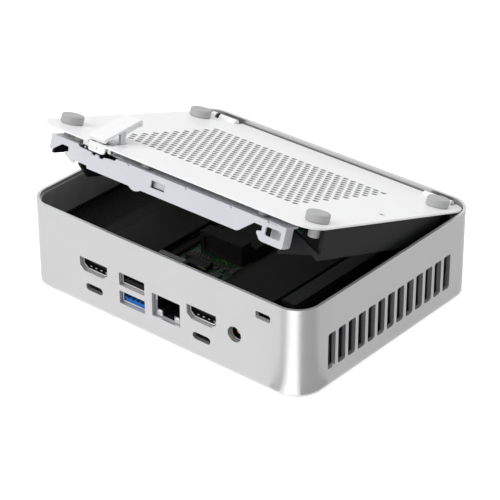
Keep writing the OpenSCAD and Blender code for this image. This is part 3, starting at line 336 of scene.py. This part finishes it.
# softened pieces
softPieces = {
    "caseShell": dict(node="outer_shell", width=0.00018, segments=2),
    "coverPlate": dict(node="bottom_cover", width=0.00008, segments=1),
    "latchRail": dict(node="latch_rail", width=0.0001, segments=1),
    "latchLever": dict(node="latch_lever", width=0.00028, segments=3),
    "leverBracket": dict(node="lever_bracket", width=0.00025, segments=3),
    "memoryShield": dict(node="memory_shield", width=0.00015, segments=1),
    "ribbonConnector": dict(node="ribbon_connector", width=0.00015, segments=2),
    "midFrame": dict(node="mid_frame", width=0.0001, segments=1),
    "carrierFrame": dict(node="cover_carrier", width=0.0002, segments=2),
    "footNearLeft": dict(node="foot_near_left", width=0.0006, segments=4),
    "footNearRight": dict(node="foot_near_right", width=0.0006, segments=4),
    "footFarLeft": dict(node="foot_far_left", width=0.0006, segments=4),
    "footFarRight": dict(node="foot_far_right", width=0.0006, segments=4),
    "powerButton": dict(node="power_button", width=0.00025, segments=3),
    "heatsinkPlate": dict(node="ssd_heatsink", width=0.0003, segments=2),
    "spareSocket": dict(node="spare_ssd_socket", width=0.0002, segments=2),
}
for name, piece in softPieces.items():
    piece["made"] = softCopy(piece["node"], name, nodeFinish[piece["node"]], piece["width"], piece["segments"])
    print("softened", name)

# painted shade: the walls of the air holes get a mid grey in place of the white paint, for the shade that lies in
# them
holeField = dict(halfWide=0.047, halfDeep=0.033, middle=-0.0005, tilt=18.8, hinge=(0.0503, 0.0375))


def inHoleWall(centre, normal):
    turn = math.radians(holeField["tilt"])
    y, z = centre.y - holeField["hinge"][0], centre.z - holeField["hinge"][1]
    along = y * math.cos(turn) - z * math.sin(turn) + holeField["hinge"][0]
    upright = normal.y * math.sin(turn) + normal.z * math.cos(turn)
    inField = abs(centre.x) < holeField["halfWide"] and abs(along - holeField["middle"]) < holeField["halfDeep"]
    return inField and abs(upright) < 0.3


paintFaces(softPieces["coverPlate"]["made"], "holeShade", inHoleWall)
# painted shade: the shell's inner walls get a dark grey in place of the metal, for the shade inside the case
shellInside = dict(halfWide=0.0703, halfDeep=0.0548, low=0.003, high=0.0365)


def insideShell(centre, normal):
    inward = normal.x * centre.x / shellInside["halfWide"] + normal.y * centre.y / shellInside["halfDeep"] < 0
    within = abs(centre.x) < shellInside["halfWide"] and abs(centre.y) < shellInside["halfDeep"]
    return inward and within and abs(normal.z) < 0.5 and shellInside["low"] < centre.z < shellInside["high"]


paintFaces(softPieces["caseShell"]["made"], "paintedInnerShade", insideShell)
ribbonBar = dict(above=0.026, before=-0.04)
paintFaces(softPieces["ribbonConnector"]["made"], "ribbonGrey",
           lambda centre, normal: centre.z > ribbonBar["above"] and centre.y < ribbonBar["before"])

# small blocks in rows: contacts, springs and chips, sizes in mm
def smallBlock(low, high, soften):
    piece = blockPiece([v / 1000 for v in low], [v / 1000 for v in high])
    bevelEdges(piece, soften / 1000, 2)
    return piece


def blockRow(name, finish, body, low, high, soften, step, count, rows=1, rowStep=(0, 0, 0)):
    first = smallBlock(low, high, soften)
    pieces = [first]
    for row in range(rows):
        for i in range(count):
            if row or i:
                offset = Vector(step) * i + Vector(rowStep) * row
                pieces.append(copyAt(first, offset / 1000))
    return settle(joinPieces(pieces) if len(pieces) > 1 else first, name, finish, body)


# plated shells: their bright steel front is the rim rings below; the shells themselves are near-black, painted shade
# for the dark inside of the ports
shellFronts = {"displayShellLeft": "hdmi_socket_left", "displayShellRight": "hdmi_socket_right",
               "ovalShellLeft": "usb_c_socket_left",
               "ovalShellRight": "usb_c_socket_right", "stackShell": "usb_a_stack"}
for name, node in shellFronts.items():
    softCopy(node, name, "socketBlackAndShade", 0)

rimRings = {
    # outline corners as seen from the port side, from the port's centre, in mm
    "displayRimLeft": dict(x=-34.85, z=18.65, corners=((-7.05, 2.6), (7.05, 2.6), (7.05, -0.75), (4.85, -2.6),
                                                       (-4.85, -2.6), (-7.05, -0.75))),
    "displayRimRight": dict(x=22.35, z=18.65, corners=((-7.05, 2.6), (7.05, 2.6), (7.05, -0.75), (4.85, -2.6),
                                                       (-4.85, -2.6), (-7.05, -0.75))),
    "stackRimHigh": dict(x=-14.1, z=19.3, corners=((-6.35, 2.5), (6.35, 2.5), (6.35, -2.5), (-6.35, -2.5))),
    "stackRimLow": dict(x=-14.1, z=10.9, corners=((-6.35, 2.5), (6.35, 2.5), (6.35, -2.5), (-6.35, -2.5))),
}
rimShape = dict(front=-54.4, back=-54.08, wide=0.3, finish="brightSteel")


def makeRim(name, r, shape):
    clearSelection()
    corners = r["corners"]
    bpy.ops.mesh.primitive_circle_add(vertices=len(corners), radius=0.005, fill_type="NGON", location=(0, 0, 0))
    piece = bpy.context.object
    bpy.ops.object.mode_set(mode="EDIT")
    bpy.ops.mesh.select_all(action="DESELECT")
    bpy.ops.object.mode_set(mode="OBJECT")
    starts = [v.co.copy() for v in piece.data.vertices]
    for i, corner in enumerate(corners):
        # each corner of the primitive goes to a corner of the outline
        for v in piece.data.vertices:
            v.select = v.index == i
        bpy.ops.object.mode_set(mode="EDIT")
        goal = Vector(((r["x"] + corner[0]) / 1000, shape["front"] / 1000, (r["z"] + corner[1]) / 1000))
        bpy.ops.transform.translate(value=goal - starts[i])
        bpy.ops.object.mode_set(mode="OBJECT")
    bpy.ops.object.mode_set(mode="EDIT")
    bpy.ops.mesh.select_all(action="SELECT")
    bpy.ops.mesh.inset(thickness=shape["wide"] / 1000, depth=0)
    bpy.ops.mesh.delete(type="FACE")
    bpy.ops.mesh.select_all(action="SELECT")
    depth = (shape["back"] - shape["front"]) / 1000
    bpy.ops.mesh.extrude_region_move(TRANSFORM_OT_translate={"value": (0, depth, 0)})
    bpy.ops.mesh.select_all(action="SELECT")
    bpy.ops.mesh.normals_make_consistent(inside=False)
    bpy.ops.object.mode_set(mode="OBJECT")
    return settle(piece, name, shape["finish"], "case")


for name, r in rimRings.items():
    makeRim(name, r, rimShape)

# trim inside the ports, sizes in mm from the port's centre in x and, in the stack, in z
displayPorts = dict(centres=(("Left", -34.85), ("Right", 22.35)))
displayTrim = {
    "displaySprings": dict(finish="brightSteel", low=(-4.45, -53.3, 16.55), high=(-3.5, -52.9, 16.85),
                           soften=0.08, pitch=2.77, count=4),
    "ovalInsert": dict(finish="socketBlackAndShade", low=(-3.6, -53.9, 8.8), high=(3.6, -53.3, 9.85), soften=0.3,
                       pitch=0, count=1),
    "ovalTeeth": dict(finish="tongueBlack", low=(-3.2, -54.05, 7.5), high=(-2.85, -53.2, 7.95), soften=0.03,
                      pitch=0.8, count=9),
}
for side, x in displayPorts["centres"]:
    for name, t in displayTrim.items():
        shift = Vector((x, 0, 0))
        blockRow(name + side, t["finish"], "case", Vector(t["low"]) + shift, Vector(t["high"]) + shift,
                 t["soften"], (t["pitch"], 0, 0), t["count"])

stackPorts = dict(x=-14.1, heights=(("High", 19.3, "tongueBlack"), ("Low", 10.9, "bluePlastic")))
stackTrim = {
    # a finish of None takes the tongue's own
    "stackFront": dict(finish=None, low=(-5.6, -54.0, -2.3), high=(5.6, -52.9, -0.3), soften=0.08, pitch=0, count=1),
    # the notches: near-black blocks at the tongue's top edge, painted shade for its grooves
    "stackNotches": dict(finish="socketBlackAndShade", low=(-4.4, -54.05, -0.7), high=(-3.6, -50, -0.22), soften=0.03,
                         pitch=2.45, count=4),
    "stackContacts": dict(finish="goldContact", low=(-4.15, -53.4, -0.3), high=(-3.85, -50.4, -0.19),
                          soften=0.03, pitch=2.45, count=4),
}
for place, z, finish in stackPorts["heights"]:
    for name, t in stackTrim.items():
        shift = Vector((stackPorts["x"], 0, z))
        blockRow(name + place, t["finish"] or finish, "case", Vector(t["low"]) + shift, Vector(t["high"]) + shift,
                 t["soften"], (t["pitch"], 0, 0), t["count"])

jack = dict(x=3.95, z=14.3, wide=14.5, high=10.3, y=-54.42, deep=0.32, mouth=(5.9, -2.3, 4.7), keyWay=(3.1, -4.6))


def makeJackFace(j):
    # steel face round the plug's mouth and its narrower key way
    x, z, y0, y1 = j["x"], j["z"], j["y"], j["y"] + j["deep"]
    half, mouthLow, mouthHigh = j["mouth"]
    keyHalf, keyLow = j["keyWay"]
    wide, high = j["wide"] / 2, j["high"] / 2
    spans = (((-wide, -high), (-half, high)), ((half, -high), (wide, high)), ((-half, mouthHigh), (half, high)),
             ((-half, -high), (-keyHalf, mouthLow)), ((keyHalf, -high), (half, mouthLow)),
             ((-keyHalf, -high), (keyHalf, keyLow)))
    bars = [smallBlock((x + a[0], y0, z + a[1]), (x + b[0], y1, z + b[1]), 0.06) for a, b in spans]
    return settle(joinPieces(bars), "jackFace", "jackSteel", "case")


makeJackFace(jack)
# sizes in mm, from the jack's centre in x
jackTrim = {
    "jackContacts": dict(finish="goldContact", low=(-3.75, -50.5, 18.35), high=(-3.4, -43.6, 18.6), soften=0.05,
                         pitch=1.02, count=8),
    "jackShoulders": dict(finish="greySteel", low=(-5.9, -54.6, 9.4), high=(-3.2, -54.25, 11.6), soften=0.08,
                          pitch=9.1, count=2),
    "jackSprings": dict(finish="brightSteel", low=(-4.9, -54.8, 11.2), high=(-3.4, -54.3, 12.1), soften=0.12,
                        pitch=9.2, count=2),
    "jackLatch": dict(finish="brightSteel", low=(-6.1, -54.7, 16.2), high=(-5.7, -54.3, 18.4), soften=0.08,
                      pitch=0, count=1),
}
for name, t in jackTrim.items():
    shift = Vector((jack["x"], 0, 0))
    blockRow(name, t["finish"], "case", Vector(t["low"]) + shift, Vector(t["high"]) + shift, t["soften"],
             (t["pitch"], 0, 0), t["count"])
print("port details made")

inlet = dict(x=39.05, y=-53.95, z=17.35, radius=2.95, thick=0.22)


def makeInletRing(r):
    clearSelection()
    bpy.ops.mesh.primitive_torus_add(major_radius=r["radius"] / 1000, minor_radius=r["thick"] / 1000,
                                     major_segments=64,
                                     minor_segments=12, location=(r["x"] / 1000, r["y"] / 1000, r["z"] / 1000),
                                     rotation=(math.radians(90), 0, 0))
    return settle(bpy.context.object, "inletRing", "jackSteel", "case")


makeInletRing(inlet)

# chips and small parts on the main board, each one modelled once
boardParts = {
    "chipRowNear": dict(finish="chipBlack", low=(2.2, -33.4, 24.5), high=(4.4, -31.2, 25.3), soften=0.1,
                        step=(3.1, 0, 0), count=4),
    "chipSquare": dict(finish="chipBlack", low=(11, -39.6, 24.5), high=(15.5, -35.4, 25.4), soften=0.12,
                       step=(0, 0, 0), count=1),
    "capRowNear": dict(finish="ceramicTan", low=(-6.6, -30.6, 24.5), high=(-5.8, -29.2, 25.0), soften=0.06,
                       step=(1.5, 0, 0), count=6, rows=2, rowStep=(0.4, 2.3, 0)),
    "capRowFar": dict(finish="ceramicTan", low=(8.4, -30.2, 24.5), high=(9.2, -28.9, 25.0), soften=0.06,
                      step=(1.6, 0, 0), count=5),
    "coilRow": dict(finish="chipBlack", low=(16.2, -33, 24.5), high=(18.6, -30.4, 26.0), soften=0.3,
                    step=(0, 3.2, 0), count=2),
    "ribbonContacts": dict(finish="goldContact", low=(5.0, -38.2, 26.3), high=(5.4, -37.9, 26.6), soften=0.05,
                           step=(0.95, 0, 0), count=5),
}
for name, b in boardParts.items():
    blockRow(name, b["finish"], "case", b["low"], b["high"], b["soften"], b["step"], b["count"],
             b.get("rows", 1), b.get("rowStep", (0, 0, 0)))
print("board parts made:", len(boardParts))


# stage, light and camera
stageSettings = dict(floorSize=6.0, floorColour=(0.9, 0.9, 0.9, 1), floorGlow=0.4, skyGlow=0.56)


def seenDirectly(nodes, links):
    # 1 for what the camera, a reflection or a clear material sees, 0 for the light that falls on things
    path = nodes.new("ShaderNodeLightPath")
    seen = nodes.new("ShaderNodeMath")
    seen.operation = "MAXIMUM"
    links.new(path.outputs["Is Camera Ray"], seen.inputs[0])
    links.new(path.outputs["Is Glossy Ray"], seen.inputs[1])
    both = nodes.new("ShaderNodeMath")
    both.operation = "MAXIMUM"
    links.new(seen.outputs[0], both.inputs[0])
    links.new(path.outputs["Is Transmission Ray"], both.inputs[1])
    return both.outputs[0]


def makeStage(s):
    clearSelection()
    bpy.ops.mesh.primitive_plane_add(size=s["floorSize"], location=(0, 0, 0))
    floor = bpy.context.object
    bpy.ops.object.mode_set(mode="EDIT")
    bpy.ops.mesh.subdivide(number_cuts=2)
    bpy.ops.object.mode_set(mode="OBJECT")
    floor.name = "paleFloor"
    mat = bpy.data.materials.new("floorPaper")
    mat.use_nodes = True
    nodes, links = mat.node_tree.nodes, mat.node_tree.links
    shader = nodes["Principled BSDF"]
    shader.inputs["Base Color"].default_value = s["floorColour"]
    shader.inputs["Roughness"].default_value = 1.0
    shader.inputs["Specular IOR Level"].default_value = 0.0
    seen = seenDirectly(nodes, links)
    glow = nodes.new("ShaderNodeMath")
    glow.operation = "MULTIPLY"
    glow.inputs[1].default_value = s["floorGlow"]
    links.new(seen, glow.inputs[0])
    shader.inputs["Emission Color"].default_value = (1, 1, 1, 1)
    links.new(glow.outputs[0], shader.inputs["Emission Strength"])
    floor.data.materials.append(mat)
    world = bpy.data.worlds.new("paleStudio")
    bpy.context.scene.world = world
    world.use_nodes = True
    nodes, links = world.node_tree.nodes, world.node_tree.links
    sky = nodes["Background"]
    sky.inputs["Color"].default_value = (1, 1, 1, 1)
    seen = seenDirectly(nodes, links)
    glow = nodes.new("ShaderNodeMapRange")
    glow.inputs["To Min"].default_value = s["skyGlow"]
    glow.inputs["To Max"].default_value = 1.0
    links.new(seen, glow.inputs["Value"])
    links.new(glow.outputs["Result"], sky.inputs["Strength"])


makeStage(stageSettings)

floorCards = {
    # toned cards on the floor round the near corner that only reflections see, as a studio lays beside a
    # satin metal case
    "cardPorts": dict(azimuth=-62, halfAngle=38, tone=0.92),
    "cardFront": dict(azimuth=-13, halfAngle=11, tone=0.45),
    "cardCorner": dict(azimuth=24, halfAngle=15, tone=2.0),
    "cardRight": dict(azimuth=82, halfAngle=36, tone=0.35),
    "cardBehind": dict(azimuth=148, halfAngle=30, tone=0.6),
}
cardPlace = dict(corner=(0.0612, -0.0452), reach=0.7, height=0.0008)
for name, card in floorCards.items():
    clearSelection()
    turn = math.radians(card["azimuth"])
    bpy.ops.mesh.primitive_circle_add(vertices=3, radius=1, fill_type="NGON", location=(0, 0, 0))
    wedge = bpy.context.object
    wedge.name = name
    bpy.ops.object.mode_set(mode="EDIT")
    # its point at the origin, its far side across the direction in which it lies
    bpy.ops.transform.translate(value=(0, -1, 0))
    spread = math.tan(math.radians(card["halfAngle"])) * math.sqrt(3) * cardPlace["reach"]
    bpy.ops.transform.resize(value=(spread, cardPlace["reach"], 1), center_override=(0, 0, 0))
    bpy.ops.object.mode_set(mode="OBJECT")
    place = Matrix.Translation((*cardPlace["corner"], cardPlace["height"]))
    wedge.data.transform(place @ Matrix.Rotation(turn, 4, "Z"))
    paper = bpy.data.materials.new(name + "Paper")
    paper.use_nodes = True
    paper.node_tree.nodes["Principled BSDF"].inputs["Base Color"].default_value = (0, 0, 0, 1)
    paper.node_tree.nodes["Principled BSDF"].inputs["Emission Color"].default_value = (1, 1, 1, 1)
    paper.node_tree.nodes["Principled BSDF"].inputs["Emission Strength"].default_value = card["tone"]
    wedge.data.materials.append(paper)
    wedge.visible_camera = wedge.visible_diffuse = wedge.visible_shadow = wedge.visible_transmission = False

lamps = {
    "keyPanel": dict(place=(-0.75, -1.25, 1.35), aim=(0, 0, 0.03), size=1.1, power=17.0),
    "topPanel": dict(place=(0.1, 0.1, 1.7), aim=(0, 0, 0.03), size=1.3, power=9.0),
}
for name, lamp in lamps.items():
    clearSelection()
    bpy.ops.object.light_add(type="AREA", location=lamp["place"])
    light = bpy.context.object
    light.name = name
    light.data.size = lamp["size"]
    light.data.energy = lamp["power"]
    light.rotation_euler = (Vector(lamp["aim"]) - Vector(lamp["place"])).to_track_quat("-Z", "Y").to_euler()

cameraSettings = dict(lens=149.74, place=(0.474286, -0.564103, 0.441431), azimuth=40.066, elevation=30.046,
                      roll=-0.08)


def makeCamera(c):
    clearSelection()
    az, el, roll = (math.radians(c[k]) for k in ("azimuth", "elevation", "roll"))
    back = Vector((math.sin(az) * math.cos(el), -math.cos(az) * math.cos(el), math.sin(el)))
    right = Vector((0, 0, 1)).cross(back).normalized()
    up = back.cross(right)
    turned = right * math.cos(roll) + up * math.sin(roll)
    upright = -right * math.sin(roll) + up * math.cos(roll)
    bpy.ops.object.camera_add(location=c["place"])
    camera = bpy.context.object
    camera.name = "viewCamera"
    camera.matrix_world = Matrix.Translation(c["place"]) @ Matrix((turned, upright, back)).transposed().to_4x4()
    camera.data.lens = c["lens"]
    camera.data.sensor_width = 36
    camera.data.clip_start = 0.01
    bpy.context.scene.camera = camera


makeCamera(cameraSettings)
bpy.context.scene.view_settings.view_transform = "Standard"
print("scene ready")
